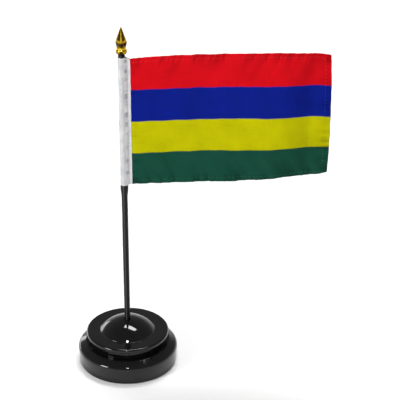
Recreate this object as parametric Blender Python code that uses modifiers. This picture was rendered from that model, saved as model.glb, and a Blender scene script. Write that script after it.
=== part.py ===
"""A miniature flag on a plastic staff, standing in a round weighted base.

The base is two black mouldings, a body and a domed cap whose neck plugs into it, closed below by a
plate with a felt pad, around an iron ballast ring. The staff stands in the blind bore of the cap and
lifts out of it. The flag's sleeve turns on the staff between two collars, and the gilt finial is
pushed onto the staff's spigot.

Metres, +Z up. The origin is the middle of the felt pad's underside, and the flag flies towards +X.
"""

import math

import bmesh
import bpy
from mathutils import Matrix, Vector

MM = 0.001

# Clearances
SEAT_GAP = 0.3 * MM  # between a piece and what it rests on or plugs into
BORE_CLEARANCE = 0.4 * MM  # all round the foot of the staff in its bore
SLEEVE_CLEARANCE = 0.3 * MM  # all round the staff inside the flag's sleeve

# Base, in from the outer edge
BASE_RADIUS = 38.1 * MM  # 3 in across
SHOULDER_WIDTH = 6.7 * MM  # from the body's wall in to its lip, which is in line with the cap's rim
RIM_OVERHANG = 3.4 * MM  # from the cap's rim in to its neck
RING_WIDTH = 10.7 * MM  # from the cap's rim in to the foot of its dome
NECK_SEAT = 1.2 * MM  # how far the neck's foot reaches over the body's opening
LIP_WIDTH = 0.7 * MM
LIP_INSET = 0.4 * MM  # of the lip's inner edge from the line of the cap's rim
SHOULDER_INSET = 1.1 * MM  # of the shoulder's start from the wall's outside
PLASTIC = 2.0 * MM  # wall of both mouldings
WALL_DRAFT = 0.9 * MM  # how much narrower the body is at its foot
BALLAST_OVERHANG = 3.0 * MM  # of the ballast ring past the cap's plug

# Base, upwards
FELT_THICKNESS = 1.0 * MM
PLATE_THICKNESS = 1.8 * MM
FOOT_LIFT = 0.3 * MM  # of the body's rim above what the felt stands on
BALLAST_HEIGHT = 6.0 * MM
LEDGE_HEIGHT = 1.2 * MM  # of the ledge that the bottom plate is pushed up to
LEDGE_WIDTH = 1.6 * MM
WALL_HEIGHT = 14.3 * MM  # of the body, to where its shoulder starts
SHOULDER_RISE = 3.1 * MM  # of the shoulder, from the wall to the lip
SHOULDER_DROP = 2.0 * MM  # height over which the shoulder's edge rolls into the wall
GROOVE_DROP = 1.0 * MM  # of the deck below the lip
GROOVE_HEIGHT = 6.3 * MM  # from the lip to the underside of the cap's rim
RIM_THICKNESS = 3.1 * MM
DOME_HEIGHT = 9.4 * MM
BEAD = 0.6 * MM  # of the snap bead that holds the plug under the deck
BORE_FLOOR = 2.0 * MM
BORE_WALL = 2.2 * MM
MOUTH_WIDENING = 0.4 * MM

# Staff, upwards from its foot
FOOT_RADIUS = 2.2 * MM
STAFF_TAPER = 0.1 * MM  # how much thicker the staff is under its lower collar than at its foot
FOOT_CHAMFER = 1.2 * MM  # height of the chamfer
FOOT_INSET = 0.85 * MM  # of the foot's end, by the chamfer
COLLAR_STEP = 0.6 * MM  # of the lower collar out from the staff under it
COLLAR_HEIGHT = 145.4 * MM  # from the foot to the collar's upper edge
COLLAR_LENGTH = 2.6 * MM
COLLAR_FLARE = 6.0 * MM  # length of the flare under the collar
COLLAR_SLOPE = 1.0 * MM
NECK_STEP = 0.15 * MM  # of the neck inside the sleeve, in from the staff under the lower collar
TOP_COLLAR_STEP = 0.35 * MM  # of the top collar out from the neck
TOP_COLLAR_HEIGHT = 1.6 * MM
SPIGOT_RADIUS = 1.3 * MM
SPIGOT_HEIGHT = 7.0 * MM

# Finial
FINIAL_HEIGHT = 21.3 * MM
FINIAL_BALL_RADIUS = 4.1 * MM
FINIAL_BALL_HEIGHT = 5.2 * MM
FINIAL_WAIST_RADIUS = 3.25 * MM
FINIAL_WAIST_HEIGHT = 5.4 * MM
FINIAL_HEAD_RADIUS = 4.1 * MM
FINIAL_HEAD_HEIGHT = 9.6 * MM  # of the widest part of the four-ridged head

# Flag
HOIST = 101.6 * MM  # 4 in, along the staff
FLY = 152.4 * MM  # 6 in, out from the staff, with the sleeve
SLEEVE_CLOTH = 0.45 * MM
SEAM_WIDTH = 3.1 * MM  # of the flat part of the sleeve, where it is sewn to the cloth
SEAM_FLARE = 0.9 * MM  # of the sleeve's two sides, from round the staff to the flat part
SEAM_ANGLE = 23  # degrees round the staff at which each side leaves it
CLOTH = 0.5 * MM
HEM = 3.4 * MM
BOW = 3.5 * MM  # of the cloth's wave out of its plane
WAVES = 0.95  # along the fly
WAVE_SLANT = 0.14  # share of a wave by which the wave leans from the bottom edge to the top
FLY_RISE = 5.0 * MM  # of the cloth above square to the staff, towards the fly
FLY_DROP = 1.7 * MM  # of the fly's very end, back down
CORNER_PULL = 3.2 * MM  # of the fly's two corners towards each other
CORNER_CURL = 3.0 * MM  # of the same corners to the back
THREAD_RADIUS = 0.15 * MM

# Rounded edges
FINE_EDGE = 0.2 * MM
EDGE = 0.4 * MM
SOFT_EDGE = 0.8 * MM
RIM_EDGE = 1.4 * MM
SHOULDER_EDGE = 1.6 * MM

ROUND = 48  # sides of the base's turned pieces
SLIM_ROUND = 24  # sides of the staff, the sleeve and the finial, a multiple of the finial's four ridges
EDGE_STEPS = 2  # of each rounded edge
DOME_STEPS = 10
CEILING_STEPS = 5
CLOTH_COLUMNS = 24
CLOTH_ROWS = 8
SEAM_STEPS = 30  # of a seam along the cloth

# Radii of the staff
shaft_radius = FOOT_RADIUS + STAFF_TAPER
collar_radius = shaft_radius + COLLAR_STEP
sleeved_radius = shaft_radius - NECK_STEP
top_collar_radius = sleeved_radius + TOP_COLLAR_STEP

# Radii of the base, from its outer edge inwards
cap_radius = BASE_RADIUS - SHOULDER_WIDTH
neck_radius = cap_radius - RIM_OVERHANG
dome_radius = cap_radius - RING_WIDTH
opening_radius = neck_radius - NECK_SEAT
plug_radius = opening_radius - SEAT_GAP
bore_radius = FOOT_RADIUS + BORE_CLEARANCE
boss_radius = bore_radius + BORE_WALL
body_inside = BASE_RADIUS - WALL_DRAFT - PLASTIC
plate_radius = body_inside - SEAT_GAP

# Heights of the base, from the felt upwards
plate_z = FELT_THICKNESS + SEAT_GAP
floor_z = plate_z + PLATE_THICKNESS + SEAT_GAP  # where what stands on the bottom plate starts
lip_z = WALL_HEIGHT + SHOULDER_RISE
deck_z = lip_z - GROOVE_DROP
rim_z = lip_z + GROOVE_HEIGHT
ring_z = rim_z + RIM_THICKNESS
bore_z = floor_z + BORE_FLOOR
staff_z = bore_z + SEAT_GAP

# Heights of the staff, from its foot upwards
neck_start = COLLAR_HEIGHT + COLLAR_SLOPE
sleeve_start = neck_start + SEAT_GAP
top_collar = sleeve_start + HOIST + SEAT_GAP
staff_end = top_collar + TOP_COLLAR_HEIGHT
finial_start = staff_end + SEAT_GAP

# Sleeve, from the staff's axis outwards
sleeve_inside = sleeved_radius + SLEEVE_CLEARANCE
sleeve_radius = sleeve_inside + SLEEVE_CLOTH
seam_end = sleeve_radius + SEAM_WIDTH
cloth_start = seam_end + SEAT_GAP
cloth_length = FLY - sleeve_radius - cloth_start


def clear_scene():
    for obj in list(bpy.data.objects):
        bpy.data.objects.remove(obj, do_unlink=True)


def material(name, colour, roughness, metallic=0.0):
    made = bpy.data.materials.new(name)
    made.use_nodes = True
    shader = made.node_tree.nodes["Principled BSDF"]
    shader.inputs["Base Color"].default_value = (*colour, 1.0)
    shader.inputs["Roughness"].default_value = roughness
    shader.inputs["Metallic"].default_value = metallic
    return made


def pivot(name, height, collection, parent=None):
    """An empty on the staff's axis, which carries the pieces that move together."""
    empty = bpy.data.objects.new(name, None)
    empty.location = (0, 0, height)
    empty.parent = parent
    empty.empty_display_size = 10 * MM
    collection.objects.link(empty)
    return empty


def add(name, data, look, parent, location=(0, 0, 0)):
    """A new object of that mesh or curve, in its parent's frame."""
    data.materials.append(look)
    obj = bpy.data.objects.new(name, data)
    obj.parent = parent
    obj.location = location
    parent.users_collection[0].objects.link(obj)
    return obj


def rounded(corners):
    """The outline through corners (x, y, radius), with each corner but the ends turned into an arc."""
    points = [Vector(corners[0][:2])]
    for before, corner, after in zip(corners, corners[1:], corners[2:]):
        place, radius = Vector(corner[:2]), corner[2]
        back = Vector(before[:2]) - place
        on = Vector(after[:2]) - place
        half_angle = back.angle(on) / 2
        if radius == 0:
            points.append(place)
            continue
        # An arc takes less than half of the shorter side, so that neighbouring arcs never meet.
        reach = min(radius / math.tan(half_angle), 0.45 * back.length, 0.45 * on.length)
        middle_way = (back.normalized() + on.normalized()).normalized()
        middle = place + middle_way * (reach / math.cos(half_angle))
        arm = place + back.normalized() * reach - middle
        sweep = arm.angle_signed(place + on.normalized() * reach - middle)
        for step in range(EDGE_STEPS + 1):
            points.append(middle + Matrix.Rotation(-sweep * step / EDGE_STEPS, 2) @ arm)
    points.append(Vector(corners[-1][:2]))
    return points


def dome_outline(radius, height, base_z, inner_radius, steps):
    """Points of a spherical dome's outline, from inner_radius near its top out and down to its foot."""
    ball = (radius**2 + height**2) / (2 * height)
    centre_z = base_z + height - ball
    start = math.asin(inner_radius / ball)
    end = math.asin(radius / ball)
    angles = [start + (end - start) * step / steps for step in range(steps + 1)]
    return [Vector((ball * math.sin(a), centre_z + ball * math.cos(a))) for a in angles]


def turned(name, outline, look, parent, location=(0, 0, 0), sides=ROUND, closed=False):
    """A turned piece. Its outline, radius against height, runs down its outer side. It is a closed loop,
    or it starts and ends on the axis."""
    mesh = bpy.data.meshes.new(name)
    edges = [(i, i + 1) for i in range(len(outline) - 1)]
    if closed:
        edges.append((len(outline) - 1, 0))
    mesh.from_pydata([(p[0], 0, p[1]) for p in outline], edges, [])
    obj = add(name, mesh, look, parent, location)
    screw = obj.modifiers.new("turn", "SCREW")
    screw.steps = screw.render_steps = sides
    screw.use_merge_vertices = True
    screw.merge_threshold = 0.01 * MM
    screw.use_smooth_shade = True


def felt_pad(look, parent):
    outline = [(0, FELT_THICKNESS), (plate_radius, FELT_THICKNESS), (plate_radius, 0), (0, 0)]
    turned("felt_pad", outline, look, parent)


def bottom_plate(look, parent):
    corners = [
        (0, PLATE_THICKNESS, 0),
        (plate_radius, PLATE_THICKNESS, EDGE),
        (plate_radius, 0, 0),
        (0, 0, 0),
    ]
    turned("bottom_plate", rounded(corners), look, parent, (0, 0, plate_z))


def ballast_ring(look, parent):
    """The iron ring lies on the bottom plate, round the boss of the bore and under the cap's plug."""
    inner, outer = boss_radius + SEAT_GAP, plug_radius + BALLAST_OVERHANG
    corners = [
        (inner, BALLAST_HEIGHT / 2, 0),
        (inner, BALLAST_HEIGHT, EDGE),
        (outer, BALLAST_HEIGHT, SOFT_EDGE),
        (outer, 0, SOFT_EDGE),
        (inner, 0, EDGE),
        (inner, BALLAST_HEIGHT / 2, 0),
    ]
    turned("ballast_ring", rounded(corners)[:-1], look, parent, (0, 0, floor_z), closed=True)


def base_body(look, parent):
    """The lower moulding: a wall and shoulder up to the lip, and a deck with the round opening."""
    foot = BASE_RADIUS - WALL_DRAFT
    ledge = body_inside - LEDGE_WIDTH
    lip = cap_radius - LIP_INSET
    deck_under = deck_z - PLASTIC
    corners = [
        (opening_radius, deck_z - PLASTIC / 2, 0),
        (opening_radius, deck_z, FINE_EDGE),
        (lip - FINE_EDGE, deck_z, FINE_EDGE),
        (lip, lip_z, FINE_EDGE),
        (lip + LIP_WIDTH, lip_z, EDGE),
        (BASE_RADIUS - SHOULDER_INSET, WALL_HEIGHT + EDGE, SHOULDER_EDGE),
        (BASE_RADIUS, WALL_HEIGHT + EDGE - SHOULDER_DROP, RIM_EDGE),
        (foot, FOOT_LIFT, SOFT_EDGE),
        (body_inside, FOOT_LIFT, FINE_EDGE),
        (body_inside, floor_z, 0),
        (ledge, floor_z, 0),
        (ledge, floor_z + LEDGE_HEIGHT, 0),
        (body_inside, floor_z + 2 * LEDGE_HEIGHT, 0),
        (body_inside, WALL_HEIGHT - PLASTIC, SOFT_EDGE),
        (cap_radius, deck_under, SOFT_EDGE),
        (opening_radius, deck_under, FINE_EDGE),
        (opening_radius, deck_z - PLASTIC / 2, 0),
    ]
    turned("base_body", rounded(corners)[:-1], look, parent, closed=True)


def base_cap(look, parent):
    """The upper moulding: dome, rim, neck and plug, with the staff's blind bore in a boss down the middle."""
    mouth = bore_radius + MOUTH_WIDENING
    dome = dome_outline(dome_radius, DOME_HEIGHT, ring_z, mouth, DOME_STEPS)
    bead_top = deck_z - PLASTIC - SEAT_GAP
    plug_end = floor_z + BALLAST_HEIGHT + SEAT_GAP
    neck_inside = neck_radius - PLASTIC
    plug_inside = plug_radius - PLASTIC
    ceiling_z = ring_z - PLASTIC
    ceiling = dome_outline(
        dome_radius - PLASTIC, DOME_HEIGHT - EDGE, ceiling_z, boss_radius, CEILING_STEPS
    )
    bore = [
        (0, bore_z, 0),
        (bore_radius, bore_z, FINE_EDGE),
        (bore_radius, dome[0].y - MOUTH_WIDENING, 0),
        (mouth, dome[0].y, 0),
    ]
    flank = [
        (*dome[-1], 0),
        (dome_radius + EDGE, ring_z, 0),
        (cap_radius, ring_z - EDGE, RIM_EDGE),
        (cap_radius, rim_z, SOFT_EDGE),
        (neck_radius, rim_z - EDGE, SOFT_EDGE),
        (neck_radius, deck_z + SEAT_GAP, FINE_EDGE),
        (plug_radius, deck_z + SEAT_GAP, 0),
        (plug_radius, bead_top, 0),
        (plug_radius + BEAD, bead_top, FINE_EDGE),
        (plug_radius, bead_top - 2 * BEAD, 0),
        (plug_radius, plug_end, EDGE),
        (plug_inside, plug_end, FINE_EDGE),
        (plug_inside, deck_z + PLASTIC, 0),
        (neck_inside, deck_z + 2 * PLASTIC, 0),
        (neck_inside, ceiling_z, SOFT_EDGE),
        (*ceiling[-1], 0),
    ]
    boss = [(*ceiling[0], 0), (boss_radius, floor_z, EDGE), (0, floor_z, 0)]
    outline = rounded(bore)[:-1] + dome[:-1] + rounded(flank)[:-1] + ceiling[:0:-1] + rounded(boss)
    turned("base_cap", outline, look, parent)


def staff(look, parent):
    """The staff, from the top of its spigot down to its chamfered foot."""
    collar_end = COLLAR_HEIGHT - COLLAR_LENGTH
    corners = [
        (0, staff_end + SPIGOT_HEIGHT, 0),
        (SPIGOT_RADIUS, staff_end + SPIGOT_HEIGHT, EDGE),
        (SPIGOT_RADIUS, staff_end, 0),
        (top_collar_radius, staff_end, FINE_EDGE),
        (top_collar_radius, top_collar, FINE_EDGE),
        (sleeved_radius, top_collar, 0),
        (sleeved_radius, neck_start, 0),
        (collar_radius, COLLAR_HEIGHT, EDGE),
        (collar_radius, collar_end, RIM_EDGE),
        (shaft_radius, collar_end - COLLAR_FLARE, 0),
        (FOOT_RADIUS, FOOT_CHAMFER, FINE_EDGE),
        (FOOT_RADIUS - FOOT_INSET, 0, FINE_EDGE),
        (0, 0, 0),
    ]
    turned("staff", rounded(corners), look, parent, sides=SLIM_ROUND)


def finial(look, parent):
    """The spear-shaped finial: round at its ball, with four ridges on its head and a blind hole below."""
    hole = SPIGOT_RADIUS + SEAT_GAP
    hole_top = SPIGOT_HEIGHT + SEAT_GAP
    head_length = FINIAL_HEIGHT - FINIAL_HEAD_HEIGHT
    ball_middle = FINIAL_BALL_HEIGHT / 2
    # Height, radius and how four-sided the section is, down the outside and then up the hole.
    sections = [
        (FINIAL_HEIGHT - head_length * share, FINIAL_HEAD_RADIUS * share**0.9, 1.0)
        for share in (0.04, 0.3, 0.6, 0.85, 1.0)
    ]
    for share in (0.3, 0.7, 1.0):
        height = FINIAL_HEAD_HEIGHT + (FINIAL_WAIST_HEIGHT - FINIAL_HEAD_HEIGHT) * share
        radius = FINIAL_HEAD_RADIUS + (FINIAL_WAIST_RADIUS - FINIAL_HEAD_RADIUS) * share
        sections.append((height, radius, 1 - share**2))
    for slope in (42, 22, 0, -22, -45, -65):
        turn = math.radians(slope)
        rise = ball_middle * math.sin(turn)
        sections.append((ball_middle + rise, FINIAL_BALL_RADIUS * math.cos(turn) ** 0.6, 0.0))
    sections += [
        (0, top_collar_radius - SEAT_GAP, 0.0),
        (0, hole, 0.0),
        (hole_top, hole, 0.0),
    ]
    mesh = bmesh.new()
    rings = []
    for height, radius, squareness in sections:
        ring = []
        for side in range(SLIM_ROUND):
            angle = 2 * math.pi * side / SLIM_ROUND
            square = 1 / (abs(math.cos(angle)) + abs(math.sin(angle)))
            reach = radius * (1 - squareness + squareness * square)
            ring.append(mesh.verts.new((reach * math.cos(angle), reach * math.sin(angle), height)))
        rings.append(ring)
    tip = mesh.verts.new((0, 0, FINIAL_HEIGHT))
    blind_end = mesh.verts.new((0, 0, hole_top))
    for side in range(SLIM_ROUND):
        after = (side + 1) % SLIM_ROUND
        mesh.faces.new((tip, rings[0][side], rings[0][after]))
        for upper, lower in zip(rings, rings[1:]):
            mesh.faces.new((upper[side], lower[side], lower[after], upper[after]))
        mesh.faces.new((blind_end, rings[-1][after], rings[-1][side]))
    bmesh.ops.recalc_face_normals(mesh, faces=mesh.faces)
    data = bpy.data.meshes.new("finial")
    mesh.to_mesh(data)
    mesh.free()
    add("finial", data, look, parent)


def poly_curve(name, splines, dimensions="3D"):
    """A curve of straight pieces, from lists of points. Closed in 2D, open in 3D."""
    curve = bpy.data.curves.new(name, "CURVE")
    curve.dimensions = dimensions
    for points in splines:
        spline = curve.splines.new("POLY")
        spline.points.add(len(points) - 1)
        for point, place in zip(spline.points, points):
            point.co = (*place, 0, 1) if len(place) == 2 else (*place, 1)
        spline.use_cyclic_u = dimensions == "2D"
    return curve


def circle(radius, start, end, steps):
    """Points on an arc round the staff's axis, between two angles in degrees."""
    angles = [math.radians(start + (end - start) * step / steps) for step in range(steps + 1)]
    return [(radius * math.cos(a), radius * math.sin(a)) for a in angles]


def pole_sleeve(look, parent):
    """The sleeve: cloth round the staff, whose two layers lie together where they are sewn."""
    flat_start = sleeve_radius + SEAM_FLARE
    outer = [(seam_end, SLEEVE_CLOTH), (flat_start, SLEEVE_CLOTH)]
    outer += circle(sleeve_radius, SEAM_ANGLE, 360 - SEAM_ANGLE, SLIM_ROUND)
    outer += [(flat_start, -SLEEVE_CLOTH), (seam_end, -SLEEVE_CLOTH)]
    inner = circle(sleeve_inside, 0, 360, SLIM_ROUND)[:-1]
    curve = poly_curve("pole_sleeve", [outer, inner], "2D")
    curve.fill_mode = "BOTH"
    curve.extrude = HOIST / 2
    add("pole_sleeve", curve, look, parent, (0, 0, HOIST / 2))


def cloth_point(along, up):
    """Where the cloth is, at a share of its length from the sleeve and of its height from the bottom."""
    wave = math.sin(2 * math.pi * (WAVES * along + WAVE_SLANT * (1 - up)))
    aside = 2 * up - 1
    curl = CORNER_CURL * along**6 * aside**2
    rise = FLY_RISE * along - (FLY_DROP + CORNER_PULL * aside**3) * along**10
    return Vector((cloth_start + cloth_length * along, BOW * along**1.3 * wave + curl, HOIST * up + rise))


def flag_cloth(look, parent):
    mesh = bmesh.new()
    bmesh.ops.create_grid(mesh, x_segments=CLOTH_COLUMNS, y_segments=CLOTH_ROWS, size=0.5)
    for vert in mesh.verts:
        vert.co = cloth_point(vert.co.x + 0.5, vert.co.y + 0.5)
    data = bpy.data.meshes.new("flag_cloth")
    mesh.to_mesh(data)
    mesh.free()
    obj = add("flag_cloth", data, look, parent)
    thicken = obj.modifiers.new("thickness", "SOLIDIFY")
    thicken.thickness = CLOTH
    thicken.offset = 0
    thicken.use_even_offset = True


def thread(name, path, look, parent):
    curve = poly_curve(name, [path])
    curve.bevel_depth = THREAD_RADIUS
    curve.bevel_resolution = 1
    curve.use_fill_caps = True
    add(name, curve, look, parent)


def sleeve_thread(look, parent):
    """The seam down the flat part of the sleeve, on its front."""
    along = (sleeve_radius + SEAM_FLARE + seam_end) / 2
    front = -(SLEEVE_CLOTH + SEAT_GAP + THREAD_RADIUS)
    thread("sleeve_thread", [(along, front, HEM / 2), (along, front, HOIST - HEM / 2)], look, parent)


def hem_thread(look, parent):
    """The seam that holds the hems: out along the top, down the fly and back along the bottom."""
    side, end = HEM / HOIST, 1 - HEM / cloth_length
    shares = [step / SEAM_STEPS for step in range(SEAM_STEPS + 1)]
    route = [(end * share, 1 - side) for share in shares]
    route += [(end, 1 - side - (1 - 2 * side) * share) for share in shares[2::2]]
    route += [(end * share, side) for share in shares[-2::-1]]
    front = Vector((SEAT_GAP, -(CLOTH / 2 + SEAT_GAP + THREAD_RADIUS), 0))
    thread("hem_thread", [cloth_point(along, up) + front for along, up in route], look, parent)


def main():
    clear_scene()
    collection = bpy.data.collections.new("desk_flag_stand")
    bpy.context.scene.collection.children.link(collection)

    black_gloss = material("black_gloss", (0.012, 0.012, 0.013), 0.12)
    black_satin = material("black_satin", (0.010, 0.010, 0.011), 0.3)
    iron = material("iron", (0.16, 0.15, 0.15), 0.6, 1.0)
    felt = material("felt", (0.02, 0.02, 0.022), 0.95)
    gilt = material("gilt", (0.55, 0.38, 0.06), 0.18, 1.0)
    white_cloth = material("white_cloth", (0.78, 0.78, 0.80), 0.55)
    printed_cloth = material("printed_cloth", (0.55, 0.03, 0.04), 0.6)
    sewing_thread = material("sewing_thread", (0.62, 0.62, 0.62), 0.6)

    base = pivot("base_pivot", 0, collection)
    standing = pivot("staff_pivot", staff_z, collection, base)
    flying = pivot("flag_pivot", sleeve_start, collection, standing)
    topping = pivot("finial_pivot", finial_start, collection, standing)

    felt_pad(felt, base)
    bottom_plate(black_satin, base)
    ballast_ring(iron, base)
    base_body(black_gloss, base)
    base_cap(black_gloss, base)
    staff(black_satin, standing)
    finial(gilt, topping)
    pole_sleeve(white_cloth, flying)
    flag_cloth(printed_cloth, flying)
    sleeve_thread(sewing_thread, flying)
    hem_thread(sewing_thread, flying)


main()
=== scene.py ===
"""The looks of a desk flag stand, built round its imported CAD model.

The base's two mouldings and the staff are turned again with fine edges, the finial is lofted, and the
flag and its sleeve are sheets of cloth with real hems, folds, puckers and stitches.
Metres, +Z up, in the CAD's frame: the flag flies towards +X and its front faces -Y.
"""

import math

import bmesh
import bpy
from mathutils import Matrix, Vector, noise


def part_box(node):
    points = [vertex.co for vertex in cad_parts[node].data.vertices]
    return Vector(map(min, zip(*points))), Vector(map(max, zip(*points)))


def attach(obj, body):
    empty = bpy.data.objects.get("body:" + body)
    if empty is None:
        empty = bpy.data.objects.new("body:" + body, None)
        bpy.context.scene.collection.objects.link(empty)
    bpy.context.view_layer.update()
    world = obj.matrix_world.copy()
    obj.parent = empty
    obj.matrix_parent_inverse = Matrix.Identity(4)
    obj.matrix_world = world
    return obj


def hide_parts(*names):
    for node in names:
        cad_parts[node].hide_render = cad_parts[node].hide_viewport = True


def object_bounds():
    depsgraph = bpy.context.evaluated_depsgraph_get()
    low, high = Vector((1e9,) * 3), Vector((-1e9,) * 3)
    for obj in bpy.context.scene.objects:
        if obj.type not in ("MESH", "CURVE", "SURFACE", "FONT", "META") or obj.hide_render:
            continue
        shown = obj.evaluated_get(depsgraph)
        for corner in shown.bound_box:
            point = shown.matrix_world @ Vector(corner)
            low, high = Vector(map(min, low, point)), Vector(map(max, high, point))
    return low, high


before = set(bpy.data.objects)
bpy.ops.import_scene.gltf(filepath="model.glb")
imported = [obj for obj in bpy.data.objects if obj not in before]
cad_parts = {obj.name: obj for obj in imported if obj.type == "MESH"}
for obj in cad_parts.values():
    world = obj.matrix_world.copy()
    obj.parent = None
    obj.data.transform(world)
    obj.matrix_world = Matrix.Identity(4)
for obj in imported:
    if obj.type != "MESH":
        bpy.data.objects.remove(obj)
cad_low, cad_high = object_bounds()

MM = 0.001

# Lowest and highest corners of the CAD's nodes
cap_low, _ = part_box("base_cap")
body_low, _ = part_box("base_body")
staff_low, staff_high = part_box("staff")
finial_low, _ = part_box("finial")
sleeve_low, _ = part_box("pole_sleeve")

# Base
BASE_RADIUS = 38.1 * MM
CAP_RADIUS = 31.4 * MM
NECK_RADIUS = 28.0 * MM
DOME_RADIUS = 20.7 * MM
OPENING_RADIUS = 26.8 * MM
PLUG_RADIUS = 26.5 * MM
BORE_RADIUS = 2.6 * MM
MOUTH_RADIUS = 3.0 * MM
BOSS_RADIUS = 4.8 * MM
PLASTIC = 2.0 * MM
WALL_DRAFT = 0.9 * MM
WALL_HEIGHT = 14.7 * MM
LIP_Z = 17.4 * MM
DECK_Z = 16.4 * MM
RIM_Z = 23.7 * MM
RING_Z = 26.8 * MM
DOME_HEIGHT = 9.4 * MM
DOME_STEP = 0.5 * MM  # the small step round the foot of the dome
BORE_Z = 5.4 * MM
PLUG_RISE = 6.3 * MM  # of the plug's edge above the end of the boss

# Staff
FOOT_RADIUS = 2.2 * MM
FOOT_BEVEL = 0.85 * MM
FOOT_BEVEL_HEIGHT = 1.2 * MM
STAFF_RADIUS = 2.3 * MM
COLLAR_RADIUS = 2.9 * MM
COLLAR_HEIGHT = 145.4 * MM
COLLAR_LENGTH = 2.6 * MM
COLLAR_FLARE = 6.0 * MM
NECK_HEIGHT = 146.4 * MM
SLEEVED_RADIUS = 2.15 * MM
TOP_COLLAR_RADIUS = 2.5 * MM
TOP_COLLAR_HEIGHT = 1.6 * MM
SPIGOT_RADIUS = 1.3 * MM
SPIGOT_HEIGHT = 7.0 * MM

PARTING_ANGLE = math.radians(-104)  # round the staff
PARTING_WIDTH = 0.2  # radians
PARTING_HEIGHT = 0.03 * MM

# Finial
FINIAL_HEIGHT = 21.3 * MM
FINIAL_RADIUS = 4.1 * MM
FINIAL_WAIST_RADIUS = 3.25 * MM
FINIAL_WAIST_HEIGHT = 5.4 * MM
FINIAL_HEAD_HEIGHT = 9.6 * MM
FINIAL_BALL_HEIGHT = 5.2 * MM
SPIGOT_CLEARANCE = 0.3 * MM

# Painted shade and highlights on the finial, by height above its foot
FACES_FROM = 10.4 * MM  # where the painted shade on the head's faces starts
TIP_LENGTH = 1.5 * MM  # of the tip, which is left bright, without painted shade
LOWER_TO = 11.0 * MM  # the lower half, painted duller up to here
GLINT_HEIGHT = 4.7 * MM  # of a painted glint on the ball
GLINT_WIDTH = 0.9 * MM
UNDER_HEAD = 8.0 * MM  # of the painted shade under the head
UNDER_HEAD_WIDTH = 1.5 * MM
BROW_HEIGHT = 3.9 * MM  # of the shadow under the ball's widest place, on its ridges
BROW_DROP = 2.0 * MM  # of the same between the ridges

# Flag, the same waves as the CAD's
HOIST = 101.6 * MM
CLOTH_START = 6.3 * MM  # the CAD cloth's edge beside the sleeve
CLOTH_LENGTH = 143.2 * MM
BOW = 3.5 * MM
WAVES = 0.95
WAVE_SLANT = 0.14
FLY_RISE = 5.0 * MM
FLY_DROP = 1.7 * MM
CORNER_PULL = 3.2 * MM
CORNER_CURL = 3.0 * MM
CLOTH = 0.14 * MM  # thinner than the CAD's solid, as real cloth is
FOLD_RADIUS = 0.17 * MM
HEM = 3.6 * MM
FLY_HEM = 4.6 * MM
TUCK = 2.4 * MM  # of the cloth between the sleeve's layers
SEAM_IN = 3.2 * MM  # of the hem stitches from the edges
FLY_SEAM_IN = 4.2 * MM
CLOTH_PITCH = 0.65 * MM  # of the cloth's mesh

# Edges of the flag
TOP_TUCK = 1.3 * MM  # of the top corner under the end of the sleeve
TOP_TUCK_REACH = 9 * MM
EDGE_WANDER = 0.35 * MM  # of the cloth up and down
FLY_BULGE = 1.0 * MM  # of the fly's middle beyond its corners
FLY_SHRINK = 0.3 * MM
FLY_WANDER = 0.3 * MM

# Folds of the flag
HOLD = 12 * MM  # the sleeve keeps the cloth even for about this far
VALLEY_DEPTH = 2.8 * MM
VALLEY_OUT = 129 * MM  # where the valley is at the flag's middle
VALLEY_MIDDLE = 50 * MM
VALLEY_LEAN = 0.06
VALLEY_WIDTH = 10 * MM
VALLEY_ROUNDING = 3 * MM
SLANT_DEPTH = 1.1 * MM
SLANT_OUT = 80 * MM  # where the slanting fold is at SLANT_UP
SLANT_UP = 4 * MM
SLANT_LEAN = 1.1
SLANT_WIDTH = 8 * MM
TURN_BACK = 3.0 * MM  # of the bottom hem's outer half
TURN_BACK_OUT = 114 * MM
TURN_BACK_WIDTH = 30 * MM
TURN_BACK_REACH = 12 * MM  # up into the cloth
LOOSE_BROAD = 0.8 * MM
LOOSE_FINE = 0.3 * MM

# Painted shade along the folds, out of 1
LOWER_SHADE = 0.5
HEM_SHADE = 0.4
VALLEY_SHADE = 0.3

# Puckers: their height and length along each seam
HEM_PUCKER = 0.5 * MM
HEM_PUCKER_LENGTH = 2.5 * MM
DRAG = 0.32 * MM  # the longer waves that reach into the cloth
DRAG_LENGTH = 7 * MM
DRAG_REACH = 9 * MM
FLY_PUCKER = 0.32 * MM
FLY_PUCKER_LENGTH = 3.0 * MM
HOIST_PUCKER = 0.35 * MM  # beside the sleeve
HOIST_PUCKER_LENGTH = 3.4 * MM
ON_THE_HEM = 0.8  # of their height on the hems themselves
FULLY_SHADED_PUCKER = 0.32 * MM  # a pucker this deep gets the full painted shade

# Sleeve
SLEEVE_RADIUS = 2.72 * MM
SLEEVE_CLOTH = 0.2 * MM  # thinner than the CAD's solid too
MARGIN_HALF = 0.24 * MM  # from the middle of the seam to each layer
MARGIN_END = 6.0 * MM
SLEEVE_SEAM = 4.15 * MM
# One side of the sleeve, in millimetres out from the staff and aside, from the margin's end to the
# tube: where the seam draws it flat, and where it stands off.
PINCHED = [(6.0, 0.24), (5.5, 0.24), (5.0, 0.24), (4.5, 0.24), (4.15, 0.24), (3.95, 0.25), (3.75, 0.29)]
PINCHED += [(3.5, 0.42), (3.2, 0.66), (2.9, 0.93), (2.6, 1.2), (2.3, 1.45), (2.0, 1.72), (1.75, 1.95)]
PINCHED += [(1.5, 2.16), (1.25, 2.32)]
PUFFED = [(6.0, 0.24), (5.5, 0.27), (5.0, 0.3), (4.5, 0.27), (4.15, 0.24), (3.98, 0.38), (3.8, 0.62)]
PUFFED += [(3.6, 0.88), (3.36, 1.12), (3.1, 1.36), (2.82, 1.58), (2.5, 1.8), (2.2, 1.98), (1.9, 2.14)]
PUFFED += [(1.58, 2.3), (1.25, 2.42)]
TUBE_SHADE = 0.28  # painted shade on the tube, from 0, white, to 1
TUBE_START = 66  # degrees round the staff where the tube proper starts

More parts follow.
